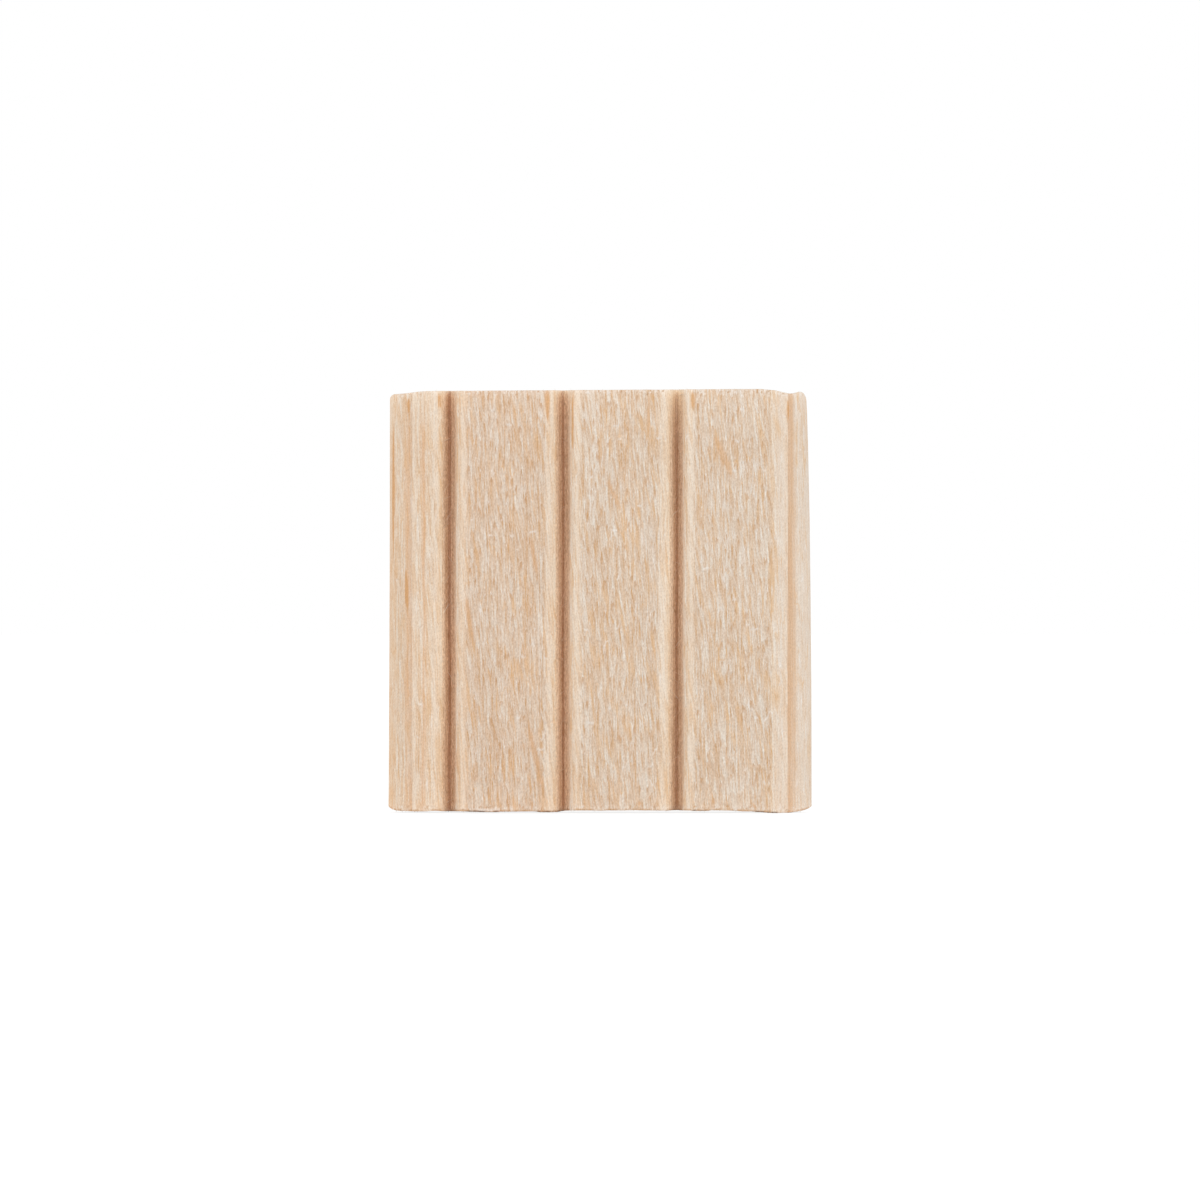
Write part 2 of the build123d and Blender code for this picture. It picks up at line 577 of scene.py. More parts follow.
def mark_ends(at, x, masks):
    """Adds the masks near the ends: painted contact shadow along the foot and the lower front
    arris, the pale hem, painted light at the flutes' upper ends, pale torn fibre, painted shade at
    the flutes' feet, and the flutes' colour lessened on their shoulders.
    """
    flute = masks["flute"]
    # Painted contact shadow: a dark band along the foot, broken by noise
    ragged = grain(at.run, 0 * at.z, *GRAINS["ragged"])
    masks["singe"] = fade(FOOT_SHADOW_REACH, at.z) * rise(FOOT_SHADOW_LEVEL, ragged)
    # Painted contact shadow: a darker broken line along the lower front arris
    blotch = grain(at.run, 0 * at.z, *GRAINS["blotch"])
    dark = on_shadow_line(x) * rise(BLOTCH_LEVEL, blotch) * at.front
    masks["stain"] = fade(SHADOW_LINE_REACH, at.z) * dark
    masks["hem"] = np.exp(-at.from_end / HEM_REACH)
    # Painted light at the upper end of each flute, where light gets in at its open end
    paler, reach = np.array((FLUTE_END_LIGHT_STRENGTH, FLUTE_END_LIGHT_REACH))[:, None, at.which]
    masks["raw"] = paler * np.exp((at.z - LENGTH) / reach) * flute

    pale = 1.8 * strip(*PALE_SPLINTER, x) * bump_at(at.z, *PALE_SPLINTER_Z) * at.front
    masks["torn"] = np.maximum(masks["torn"], pale)
    # Painted shade at the foot of each flute, added to the crease shade
    foot = 0.2 * flute * fade(FOOT_REACH, at.z)
    masks["crease"] = np.maximum(masks["crease"], foot)
    # The flutes' darker colour fades on their shoulders near both ends
    shoulder_near_end = rise((0.25, 0.6), np.abs(at.offset))[None]
    shoulder_near_end = shoulder_near_end * np.exp(-at.from_end / SHOULDER_END_REACH)
    masks["flute"] = flute * (1 - 0.7 * shoulder_near_end)


def stick_grid():
    """The dressed surface, its masks, and the survey of it."""
    at = survey()
    masks = zones(at)
    masks["chip"], masks["torn"] = torn_edges(at, masks["flute"])
    relief = surface_relief(at, masks) - SUNK
    depth_in = np.maximum(-relief, LEAST_SUNK) + eased_arris(at)
    x = at.x + at.inward[None, :, 0] * depth_in
    y = at.y + at.inward[None, :, 1] * depth_in
    x, y = bent_flutes(at, x, y)
    x = tapered(x, np.clip(at.z / LENGTH, 0, 1))

    masks["amber"] = amber_mask(at)
    masks["band"] = band_and_quirk_shade_mask(at.x, at.z)
    masks["fair"] = rise(FAIR_START, at.x) + 0 * at.z
    mark_ends(at, x, masks)
    masks["milled"] = np.maximum(masks["milled"], at.nose)

    bottom, top = bottom_z(x, y), top_z(x, y)
    lift = bottom * np.clip(1 - at.z / END_SPREAD, 0, 1) ** 2
    drop = (LENGTH - top) * np.clip(1 - (LENGTH - at.z) / END_SPREAD, 0, 1) ** 2
    return np.stack([x, y, at.z + lift - drop], 2), masks, at


def inner_points(loop):
    """A jittered lattice of points inside an end, kept clear of its outline."""
    generator = np.random.default_rng(77)
    columns = np.arange(-HALF_WIDTH, HALF_WIDTH, CAP_STEP)
    rows = np.arange(-HALF_THICKNESS, HALF_THICKNESS, CAP_STEP * 0.87)
    x, y = np.meshgrid(columns, rows)
    x = x + CAP_STEP / 2 * (np.arange(len(rows)) % 2)[:, None]
    lattice = np.stack([x.ravel(), y.ravel()], 1)
    lattice += generator.uniform(-0.12, 0.12, lattice.shape) * CAP_STEP
    (x0, y0), (x1, y1) = loop.T, np.roll(loop, -1, 0).T
    x, y = lattice[:, :1], lattice[:, 1:]
    spans = (y0 > y) != (y1 > y)
    crossing = x0 + (y - y0) * (x1 - x0) / np.where(spans, y1 - y0, 1.0)
    inside = np.sum(spans & (x < crossing), axis=1) % 2 == 1
    lattice = lattice[inside]
    gap = np.min(np.linalg.norm(lattice[:, None] - loop[None], axis=2), axis=1)
    return lattice[gap > CAP_STEP * 0.6]


def cap(loop, rim, base, height_at):
    """New points and faces over an outline, whose numbers are rim. The new ones go on from base."""
    lattice = inner_points(loop)
    flat = [Vector(p) for p in np.concatenate([loop, lattice])]
    order = list(range(len(loop)))
    edges = list(zip(order, order[1:] + order[:1]))
    _, _, faces, origins, _, _ = delaunay_2d_cdt(flat, edges, [], 1, 1e-6)
    number = np.concatenate([rim, base + np.arange(len(lattice))])
    faces = [[int(number[origins[i][0]]) for i in face] for face in faces]
    new = np.column_stack([lattice, height_at(lattice[:, 0], lattice[:, 1])])
    return new, faces


def add_masks(mesh, masks, rim_rows):
    """Gives the mesh its masks. Only its two rims and the ends count as sawn."""
    extra = len(mesh.vertices) - masks["flute"].size
    sawn = np.zeros_like(masks["flute"])
    sawn[rim_rows] = 1
    for name, values in (masks | {"sawn": sawn}).items():
        attribute = mesh.attributes.new(name, "FLOAT", "POINT")
        on_ends = np.full(extra, float(name == "sawn"))
        attribute.data.foreach_set("value", np.concatenate([values.ravel(), on_ends]))


def make_tenon():
    """The moulded surface and its two sawn ends, as one closed mesh."""
    grid, masks, at = stick_grid()
    row_count, count = grid.shape[:2]
    index = np.arange(row_count * count).reshape(row_count, count)
    ahead = np.roll(index, -1, 1)
    walls = np.stack([index[:-1], ahead[:-1], ahead[1:], index[1:]], 2).reshape(-1, 4).tolist()

    base = row_count * count
    bottom_new, bottom = cap(grid[0, :, :2], index[0], base, bottom_z)
    bottom = [face[::-1] for face in bottom]
    top_new, top = cap(grid[-1, :, :2], index[-1], base + len(bottom_new), top_z)

    points = np.concatenate([grid.reshape(-1, 3), bottom_new, top_new]) * MM
    faces = walls + bottom + top
    mesh = smooth_mesh("tenon_wood", points, faces)
    add_masks(mesh, masks, [0, -1])
    lay_out_map(mesh, at, len(walls), len(bottom), points)
    mesh.set_sharp_from_angle(angle=SHARP_ANGLE)
    mesh.validate()
    return add_object("tenon_wood", mesh)


# The flat map, in shares of its side: two wide strips for the cheeks, and the ends below
MAP_GAP = 0.004
BACK_BASE, FRONT_BASE = 0.113, 0.561
STRIP_HEIGHT = 0.433
TOP_END_START = 0.504
END_SIZE = (0.49, 0.098)


def lay_out_map(mesh, at, wall_faces, bottom_count, points):
    """A flat map of the mesh."""
    count = at.run.shape[1]
    cheek = at.run[0, at.front_count - 1]
    loop_vertex = np.empty(len(mesh.loops), int)
    mesh.loops.foreach_get("vertex_index", loop_vertex)
    total = np.empty(len(mesh.polygons), int)
    mesh.polygons.foreach_get("loop_total", total)
    face_of_loop = np.repeat(np.arange(len(mesh.polygons)), total)

    on_wall = face_of_loop < wall_faces
    column = loop_vertex % count
    back = face_of_loop % count >= at.front_count - 1
    run = at.run[0][np.where(on_wall, column, 0)]
    run = np.where(back & (column == 0), 2 * cheek, run)
    across = np.where(back, run - cheek, run) / cheek
    along = points[loop_vertex, 2] / (LENGTH * MM)
    wall_u = MAP_GAP + (1 - 2 * MAP_GAP) * across
    wall_v = np.where(back, BACK_BASE, FRONT_BASE) + STRIP_HEIGHT * along
    is_top = face_of_loop >= wall_faces + bottom_count
    flat_x = points[loop_vertex, 0] / (WIDTH * MM) + 0.5
    flat_y = points[loop_vertex, 1] / (THICKNESS * MM) + 0.5
    cap_u = np.where(is_top, TOP_END_START, MAP_GAP) + END_SIZE[0] * flat_x
    cap_v = MAP_GAP + END_SIZE[1] * flat_y
    u, v = np.where(on_wall, wall_u, cap_u), np.where(on_wall, wall_v, cap_v)
    layer = mesh.uv_layers.new(name="OFBake")
    layer.data.foreach_set("uv", np.stack([u, v], 1).ravel())


# --- loose fibres ---

FIBRE_RADIUS = 0.017
FIBRE_THICKNESS = (0.6, 1.1)
FIBRE_SIDES = 4
FIBRE_TAPER = 0.75
ROOT_SUNK = 0.02
BURIED = 0.5 * FIBRE_RADIUS
BOX_GAP = 0.002
FLUTE_FIBRES = 26
FLUTE_DROP = 0.55
RIM_FIBRES = 150
UPWARD_SHARE = 0.3
RIM_GAP = 0.03
SHORTEST = 0.05
CURL_RADIUS = 0.04

# Hooks of torn fibre on the front: x, z, width, rise. A longer flap stands beside them.
HOOKS = (
    (17.35, 0.55, 0.55, 0.42),
    (3.85, 37.4, 0.45, 0.22),
    (7.1, 37.3, 0.5, 0.25),
    (-10.1, 0.5, 0.5, 0.2),
    (2.75, 0.45, 0.4, 0.3),
)
FLAP_X, FLAP_Z = 14.75, 1.5
FLAP_WIDTH, FLAP_LENGTH = 0.28, 1.1


def flute_fibre(generator, centre, turn):
    """A torn fibre that lies across a flute, from one flank to the other."""
    side = generator.choice((-1, 1))
    begin = side * generator.uniform(0.3, 0.75)
    end = begin - side * generator.uniform(0.15, 1.0)
    length = generator.uniform(0.3, 1.7)
    z = generator.uniform(0.6, LENGTH - 2.4)
    t = np.linspace(0, 1, 6)
    x = centre + FLUTE_SHIFT + begin + (end - begin) * t**1.3
    ground = flute_depth_at(np.array([begin, end]))
    depth = ground[0] + (min(ground[1], ground[0] + FLUTE_DROP) - ground[0]) * t
    depth = np.maximum(depth - 0.05 * np.sin(math.pi * t), 0.04)
    path = np.stack([x, depth - HALF_THICKNESS, z + length * t], 1)
    path[:, :2] *= turn
    return path


def flute_fibres(generator):
    places = [(centre, turn) for centre in FLUTES for turn in (1, -1)]
    return [flute_fibre(generator, *place) for place in places for _ in range(FLUTE_FIBRES)]


def rim_fibres(generator):
    """Short fibres that the saw left standing round the ends."""
    points, _, inward, _ = ring_arrays()
    paths = []
    for _ in range(RIM_FIBRES):
        pick = generator.integers(len(points))
        root = points[pick] + inward[pick] * generator.uniform(0.04, 0.3)
        upward = generator.random() < UPWARD_SHARE
        root[0] = tapered(root[0], float(upward))
        sway = generator.uniform(-0.12, 0.12, 2)
        t = np.linspace(0, 1, 6)
        x, y = root[0] + sway[0] * t, root[1] + inward[pick][1] * 0.05 * t
        face = top_z(root[0], root[1]) if upward else bottom_z(root[0], root[1])
        reach = generator.uniform(0.05, 0.2)
        tip = min(face + reach, LENGTH - RIM_GAP) if upward else max(face - reach, RIM_GAP)
        if abs(tip - face) < SHORTEST:
            continue
        paths.append(np.stack([x, y, face + (tip - face) * t], 1))
    return paths


def curls():
    """Broken fibres that curl off the front near its ends: hooks, and one long flap."""
    t = np.linspace(0, 1, 9)
    routes = [(x + wide * t, z + rise * np.sin(2.6 * t)) for x, z, wide, rise in HOOKS]
    routes.append((FLAP_X + FLAP_WIDTH * t**2, FLAP_Z + FLAP_LENGTH * t))
    paths = []
    for x, z in routes:
        surface = front_depth(x) - HALF_THICKNESS + 0.045
        paths.append(np.stack([x, surface - 0.02 * np.sin(3 * t), z], 1))
    return paths


def tube(path, radius, first):
    """Points and faces of a thin tapered tube along a path, numbered from first."""
    ahead = np.gradient(path, axis=0)
    ahead /= np.linalg.norm(ahead, axis=1)[:, None]
    aside = np.cross(ahead, (0.0, 1.0, 0.0))
    aside /= np.linalg.norm(aside, axis=1)[:, None]
    above = np.cross(ahead, aside)
    steps = len(path)
    points, faces = [], []
    for step in range(steps):
        here = radius * (1 - FIBRE_TAPER * step / (steps - 1))
        for side in range(FIBRE_SIDES):
            angle = 2 * math.pi * side / FIBRE_SIDES
            around = math.cos(angle) * aside[step] + math.sin(angle) * above[step]
            points.append(path[step] + here * around)
    for step in range(steps - 1):
        for side in range(FIBRE_SIDES):
            a = first + step * FIBRE_SIDES + side
            b = first + step * FIBRE_SIDES + (side + 1) % FIBRE_SIDES
            faces.append((a, b, b + FIBRE_SIDES, a + FIBRE_SIDES))
    last = first + (steps - 1) * FIBRE_SIDES
    faces.append(tuple(range(first + FIBRE_SIDES - 1, first - 1, -1)))
    faces.append(tuple(range(last, last + FIBRE_SIDES)))
    return points, faces


def depth_in_wood(point, wood):
    """How deep a point lies in the wood, the way to its surface, and the way out of it."""
    place = Vector(point) * MM
    nearest, normal, _, _ = wood.find_nearest(place)
    return (nearest - place).dot(normal) / MM, (nearest - place) / MM, normal


def seated(path, wood):
    """The path, moved if need be so that its root sits just inside the wood."""
    depth, to_surface, normal = depth_in_wood(path[0], wood)
    return path if depth > ROOT_SUNK else path + np.array(to_surface - normal * ROOT_SUNK)


def shows(path, wood):
    """Whether any of the path comes near or out of the surface of the wood."""
    return min(depth_in_wood(point, wood)[0] for point in path) < BURIED


def make_fibres(stick):
    """Every loose fibre, rooted in the wood of the stick."""
    generator = np.random.default_rng(9)
    corners = [vert.co for vert in stick.data.vertices]
    wood = BVHTree.FromPolygons(corners, [face.vertices for face in stick.data.polygons])
    paths = flute_fibres(generator) + rim_fibres(generator)
    paths = [seated(path, wood) for path in paths]
    paths = [path for path in paths if shows(path, wood)]
    thick = [FIBRE_RADIUS * generator.uniform(*FIBRE_THICKNESS) for _ in paths]
    curled = curls()
    paths, thick = paths + curled, thick + [CURL_RADIUS] * len(curled)

    verts, faces = [], []
    for path, radius in zip(paths, thick):
        new_verts, new_faces = tube(path, radius, len(verts))
        verts += new_verts
        faces += new_faces
    lowest = (BOX_GAP - HALF_WIDTH, BOX_GAP - HALF_THICKNESS, BOX_GAP)
    highest = (HALF_WIDTH - BOX_GAP, HALF_THICKNESS - BOX_GAP, LENGTH - BOX_GAP)
    points = np.clip(np.array(verts), lowest, highest) * MM
    return add_object("loose_fibres", smooth_mesh("loose_fibres", points, faces))


# --- shader nodes ---


class Level:
    """An output of a shader node, to be added to or multiplied like a number."""

    def __init__(self, socket):
        self.socket = socket

    def other(self, name):
        return Level(self.socket.node.outputs[name])

    def __add__(self, value):
        return calc("ADD", self, value)

    def __sub__(self, value):
        return calc("SUBTRACT", self, value)

    def __rsub__(self, value):
        return calc("SUBTRACT", value, self)

    def __mul__(self, value):
        return calc("MULTIPLY", self, value)


current = SimpleNamespace(tree=None)


def start_nodes(owner):
    """Empties the owner's node tree, which new nodes go into from now on."""
    owner.use_nodes = True
    current.tree = owner.node_tree
    current.tree.nodes.clear()
    return owner


def add(kind, inputs=None, output=0, **properties):
    """Adds a shader node, whose inputs are plain values or levels, and returns an output."""
    node = current.tree.nodes.new("ShaderNode" + kind)
    for name, value in properties.items():
        setattr(node, name, value)
    for name, value in (inputs or {}).items():
        if isinstance(value, Level):
            current.tree.links.new(value.socket, node.inputs[name])
        else:
            node.inputs[name].default_value = value
    return Level(node.outputs[output])


def show(surface, kind="OutputMaterial"):
    output = current.tree.nodes.new("ShaderNode" + kind)
    current.tree.links.new(surface.socket, output.inputs["Surface"])


def show_gloss(shade, rough, specular, inputs):
    inputs = {"Base Color": shade, "Roughness": rough, "Specular IOR Level": specular} | inputs
    show(add("BsdfPrincipled", inputs))


def calc(operation, a, b=0.0, clamp=False):
    return add("Math", {0: a, 1: b}, operation=operation, use_clamp=clamp)


def vector(operation, a, b, output=0):
    return add("VectorMath", {0: a, 1: b}, output, operation=operation)


def swing(value, weight):
    """How far a level lies from its middle, 0.5, times a weight."""
    return (value - 0.5) * weight


def carried(value, start, end, low_value=0.0, high_value=1.0):
    """value carried from start..end to low_value..high_value, and held at both ends."""
    return add("MapRange", dict(enumerate((value, start, end, low_value, high_value))))


def ramp(value, name):
    return carried(value, *RAMPS[name])


def blend(amount, a, b, how="MIX"):
    """Colour a, with b laid over it by amount."""
    return add("Mix", {0: amount, 6: a, 7: b}, 2, data_type="RGBA", blend_type=how)


def tinted(wood, amount, tint):
    return blend(amount, wood, tint, how="MULTIPLY")


def covered(wood, where, name, shade):
    """A shade laid over the wood where a mask says, as strongly as COVER says."""
    return blend(where * COVER[name], wood, shade)


def stretched(point, across, along, shift):
    """The point in cells of a pattern, from its cells per metre across and along the grain."""
    scale, location = (across, across, along), (shift, shift, shift)
    return add("Mapping", {"Vector": point, "Scale": scale, "Location": location})


def fine_noise(point, across, along, detail, roughness, shift):
    placed = stretched(point, across, along, shift)
    inputs = {"Vector": placed, "Scale": 1.0, "Detail": detail, "Roughness": roughness}
    return add("TexNoise", inputs)


def noise(point, name):
    return fine_noise(point, *NOISES[name])


def cells(point, across, along, shift):
    """Lens-shaped cells of fibre: a level from 0 to 1 for each, and the height within it."""
    placed = stretched(point, across, along, shift)
    found = add("TexVoronoi", {"Vector": placed, "Scale": 1.0}, "Color")
    inside = vector("SUBTRACT", placed, found.other("Position"))
    return add("SeparateColor", {0: found}), add("SeparateXYZ", {0: inside}, 2)


def strands(point, across, along, width, shift):
    """Thin broken threads: 1 along the lines where a stretched noise passes its middle."""
    level = fine_noise(point, across, along, 0.0, 0.5, shift)
    away = calc("ABSOLUTE", level - 0.5)
    gaps = fine_noise(point, across * 0.45, along * 1.6, 0.0, 0.5, shift * 2)
    return carried(away, 0.0, width, 1.0, 0.0) * ramp(gaps, "thread")


def leaning(point, height, lean):
    """The point sheared, so that what follows it leans to the right going down."""
    return vector("ADD", point, add("CombineXYZ", {0: height * lean}))


def mixed_level(patterns, weights):
    """0.5 plus the swing of each pattern times its weight, held between 0 and 1."""
    level = 0.5
    for name, weight in weights.items():
        level = calc("ADD", level, swing(getattr(patterns, name), weight))
    return calc("ADD", level, 0.0, clamp=True)


def color(r, g, b):
    return (r, g, b, 1.0)


# --- materials ---

FLECK_DARK = color(0.62, 0.355, 0.165)
FLECK_LIGHT = color(0.85, 0.785, 0.69)
STREAK_DARK = color(0.735, 0.475, 0.27)
STREAK_LIGHT = color(0.885, 0.80, 0.68)
ORANGE_WOOD = color(0.79, 0.53, 0.31)
GREY_WOOD = color(0.80, 0.71, 0.60)
FAIR_WOOD = color(0.815, 0.69, 0.575)
# Painted shadow under the lifted ends of fibres
PIT_SHADOW_BROWN = color(0.60, 0.35, 0.18)
STREAK_AMBER = color(0.705, 0.405, 0.195)
STRAND_PALE = color(0.92, 0.87, 0.81)
STRAND_AMBER = color(0.74, 0.44, 0.20)
# Left bands: a darker streak of the wood and painted shade at the left quirk's foot. Right band:
# painted shade at the right quirk's foot.
BAND_AND_QUIRK_SHADE_TAN = color(0.765, 0.475, 0.275)
QUIRK_SHADE_BROWN = color(0.725, 0.482, 0.302)
RIDGE_CREAM = color(0.88, 0.745, 0.60)
# The flutes' nap: its own brown, made darker still with painted shade of the flutes
FLUTE_DARK = color(0.545, 0.33, 0.188)
FLUTE_LIGHT = color(0.95, 0.725, 0.525)
# Painted light at the upper ends of the flutes
FLUTE_END_LIGHT_COLOR = color(0.95, 0.78, 0.56)
# Painted shade in the roots of the flutes
CREASE_SHADE_BROWN = color(0.42, 0.19, 0.09)
# The brown of the real chips, also used for the painted contact shadow along the foot
CHIP_AND_FOOT_SHADOW = color(0.62, 0.36, 0.18)
# Painted contact shadow along the lower front arris
SHADOW_LINE_DARK = color(0.17, 0.09, 0.055)
FIBRE_TAN = color(0.74, 0.56, 0.40)
FIBRE_PALE = color(0.90, 0.80, 0.68)
END_DARK = color(0.50, 0.33, 0.20)
END_LIGHT = color(0.78, 0.62, 0.46)
PORE_BROWN = color(0.30, 0.17, 0.09)
WHITE = color(1, 1, 1)

# Tints, by which the wood's colour is multiplied
# Painted light on the flutes' flanks: warmer on the left ones, paler and cooler on the right ones
TINT_LEFT_FLANK_LIGHT = color(0.99, 0.945, 0.885)
TINT_RIGHT_FLANK_LIGHT = color(1.045, 1.08, 1.12)
TINT_LEFT_SIDE = color(1.0, 0.985, 0.985)
TINT_RIGHT_SIDE = color(0.99, 1.015, 1.05)
# Painted light on the left edge, and painted shade over the first panel as the light falls off to
# the left
TINT_LEFT_TIP_LIGHT = color(1.1, 1.04, 0.97)
TINT_FIRST_PANEL_SHADE = color(0.985, 0.968, 0.96)
TINT_LATE_WOOD = color(0.80, 0.68, 0.56)
TIP_WIDTH = 1.1 * MM
FIRST_PANEL_START = (-12.7 * MM, -12.0 * MM)
FIRST_PANEL_FADE = (-6.0 * MM, -2.0 * MM)

# The masks that the mesh carries for the wood
MASKS = "flute crease flank ridge milled band fair sawn singe stain amber hem raw chip torn"

# Noises of the wood: cells per metre across and along the grain, detail, roughness, shift
NOISES = {
    "sway": (380, 130, 1.0, 0.5, 3.1),
    "fray": (6000, 2100, 1.0, 0.5, 5.3),
    "flecks": (9800, 690, 2.0, 0.6, 0.0),
    "streaks": (6000, 60, 2.0, 0.65, 11.3),
    "broad": (420, 60, 1.0, 0.5, 17.9),
    "hues": (1100, 240, 1.5, 0.55, 23.3),
    "fuzz": (10500, 5600, 1.0, 0.5, 29.1),
    "dashes": (9500, 2300, 1.5, 0.6, 67.0),
    "ring_drift": (160, 160, 2.0, 0.5, 51.0),
    "rays": (260, 420, 1.0, 0.5, 61.0),
    "mottle": (2600, 2600, 3.0, 0.65, 31.0),
    "scratches": (5200, 1.0, 3.0, 0.7, 71.0),
    "loose_fibre": (900, 1800, 1.0, 0.5, 0.0),
}

# Cells of fibre: how many per metre across and along the grain, shift
TUFTS = (9200, 660, 0.0)
LENSES = (7000, 360, 9.7)
# Pits of painted shadow under the lifted ends of fibres
PIT_SHADOW_CELLS = (6400, 900, 53.0)

# Threads of fibre: cells per metre across and along the grain, width, shift
PALE_STRANDS = (3600, 360, 0.03, 37.0)
AMBER_STRANDS = (2600, 300, 0.026, 43.0)

# How much each pattern weighs in a mix
PANEL_MIX = dict(tufts=0.34, rooted=0.22, lenses=0.22, flecks=0.8, streaks=1.0, fuzz=0.3)
SMOOTH_MIX = dict(streaks=1.4, lenses=0.3, tufts=0.25, flecks=0.8, fuzz=0.4)
WARM_MIX = dict(hues=1.0, lenses=-0.25, streaks=-0.5)
NAP_MIX = dict(dashes=2.3, fuzz=0.9, streaks=1.3, flecks=1.0, broad=0.5)
END_MIX = dict(mottle=1.3, scratches=0.9)

# Ramps: where a level starts and ends, and what it is carried to if that isn't 0 and 1
RAMPS = {
    "thread": (0.45, 0.6),
    "root": (0.5, -0.45),
    "smooth": (0.25, 0.75),
    "orange": (0.53, 0.8, 0.0, 0.75),
    "grey": (0.42, 0.15, 0.0, 0.45),
    "pitted": (0.86, 0.92),
    "pit_end": (-0.1, 0.35),
    "band": (0.35, 0.65, 0.95, 0.45),
    "cream": (0.2, 0.8, 0.25, 0.75),
    "amber": (0.3, 0.95),
    "amber_off_panel": (0.0, 1.0, 0.62, 1.0),
    "amber_near": (0.02, 0.15),
    "nap": (0.2, 0.8, 0.0, 0.9),
    "raw": (0.3, 0.7, 0.7, 1.0),
    "hem": (0.68, 0.95),
    "bleached": (0.35, 0.65, 0.05, 0.25),
    "slow_tone": (0.25, 0.75, 0.98, 1.02),
    "fine_tone": (0.2, 0.8, 0.88, 1.12),
    "hem_tone": (0.0, 1.0, 1.0, 1.1),
    "rough": (0.3, 0.7, 0.86, 0.74),
    "late_wood": (0.35, 0.93),
    "ring_edge": (0.93, 1.0, 1.0, 0.0),
    "rays": (0.58, 0.66),
    "pore": (0.18, 0.34, 1.0, 0.0),
    "pore_chosen": (0.35, 0.5),
    "loose_fibre": (0.35, 0.65),
    "room": (0.0, 1.0, 0.9, 1.0),
}

# How strongly each layer covers what lies under it
COVER = dict(fair=0.5, pale_strands=0.6, amber_strands=0.5, crease=0.9)
COVER.update(torn=0.5, chip=0.85, singe=0.75, stain=0.95, rays=0.3, pores=0.65, late_wood=0.55)

# How far the fibres sway and fray, and how much the flecks and the warm patches lean
SWAY, FRAY = 0.7 * MM, 0.08 * MM
FLECK_LEAN, HUE_LEAN = 0.12, 0.28

# The end grain: the heart of the tree, and rings and pores per metre
HEART = (-21 * MM, -47 * MM, 0)
RINGS, PORES = 520.0, 7600.0

BUMP_HEIGHT, BUMP_STRENGTH = 0.03 * MM, 0.35


def frayed_space(where):
    """The place in the wood, pushed about as its fibres sway to and fro."""
    sway, fray = swing(noise(where, "sway"), SWAY), swing(noise(where, "fray"), FRAY)
    return vector("ADD", where, add("CombineXYZ", {0: sway + fray, 2: fray}))


def wood_patterns():
    """The patterns that the wood's colour and relief are mixed from."""
    where = add("TexCoord", output="Object")
    x = add("SeparateXYZ", {0: where})
    z = x.other("Z")
    fibre = frayed_space(where)
    slant = leaning(fibre, z, FLECK_LEAN)
    tufts, height_in = cells(slant, *TUFTS)
    return SimpleNamespace(
        where=where,
        x=x,
        fibre=fibre,
        tufts=tufts,
        # Each tuft is dark at its root, just below the end of the one above: painted shadow under
        # that lifted end, which also dips the bump
        rooted=ramp(height_in, "root"),
        lenses=cells(slant, *LENSES)[0],
        **{name: noise(fibre, name) for name in ("flecks", "streaks")},
        hues=noise(leaning(fibre, z, HUE_LEAN), "hues"),
        **{name: noise(where, name) for name in ("broad", "fuzz", "dashes")},
    )


def bare_wood(of, zone):
    """Torn, flecked wood on the panels, and smooth, streaked wood where the cut is clean."""
    panel = blend(mixed_level(of, PANEL_MIX), FLECK_DARK, FLECK_LIGHT)
    smooth = blend(mixed_level(of, SMOOTH_MIX), STREAK_DARK, STREAK_LIGHT)
    wood = blend(ramp(zone.milled + swing(of.lenses, 0.9), "smooth"), panel, smooth)
    wood = covered(wood, zone.fair, "fair", FAIR_WOOD)
    warm = mixed_level(of, WARM_MIX)
    wood = blend(ramp(warm, "orange"), wood, ORANGE_WOOD)
    return blend(ramp(warm, "grey"), wood, GREY_WOOD)


def threads(wood, of, zone):
    """Pale and amber threads of fibre, and small brown pits of painted shadow under the lifted ends
    of fibres.
    """
    wood = covered(wood, strands(of.fibre, *PALE_STRANDS), "pale_strands", STRAND_PALE)
    wood = covered(wood, strands(of.fibre, *AMBER_STRANDS), "amber_strands", STRAND_AMBER)
    # Painted shadow under the lifted ends of fibres, at the top of each cell
    chance, along = cells(of.fibre, *PIT_SHADOW_CELLS)
    pit_shadow = ramp(chance, "pitted") * ramp(along, "pit_end") * (0.7 - zone.milled * 0.55)
    return blend(pit_shadow, wood, PIT_SHADOW_BROWN)


def bands(wood, of, zone):
    """The darker bands of the margins, partly painted shade at the foot of each quirk step, the
    cream ridges by the flutes, and amber streaks.
    """
    # Painted shade at the foot of each quirk step, with a darker streak of the wood on the left
    band = calc("MULTIPLY", zone.band, ramp(of.streaks, "band"), clamp=True)
    wood = blend(band, wood, blend(zone.fair, BAND_AND_QUIRK_SHADE_TAN, QUIRK_SHADE_BROWN))
    wood = blend(zone.ridge * ramp(of.lenses, "cream"), wood, RIDGE_CREAM)
    frayed = zone.amber + swing(of.tufts, 0.55) + (of.flecks - 0.5)
    streaky = ramp(frayed, "amber") * ramp(zone.milled, "amber_off_panel")
    return blend(streaky * ramp(zone.amber, "amber_near"), wood, STREAK_AMBER)


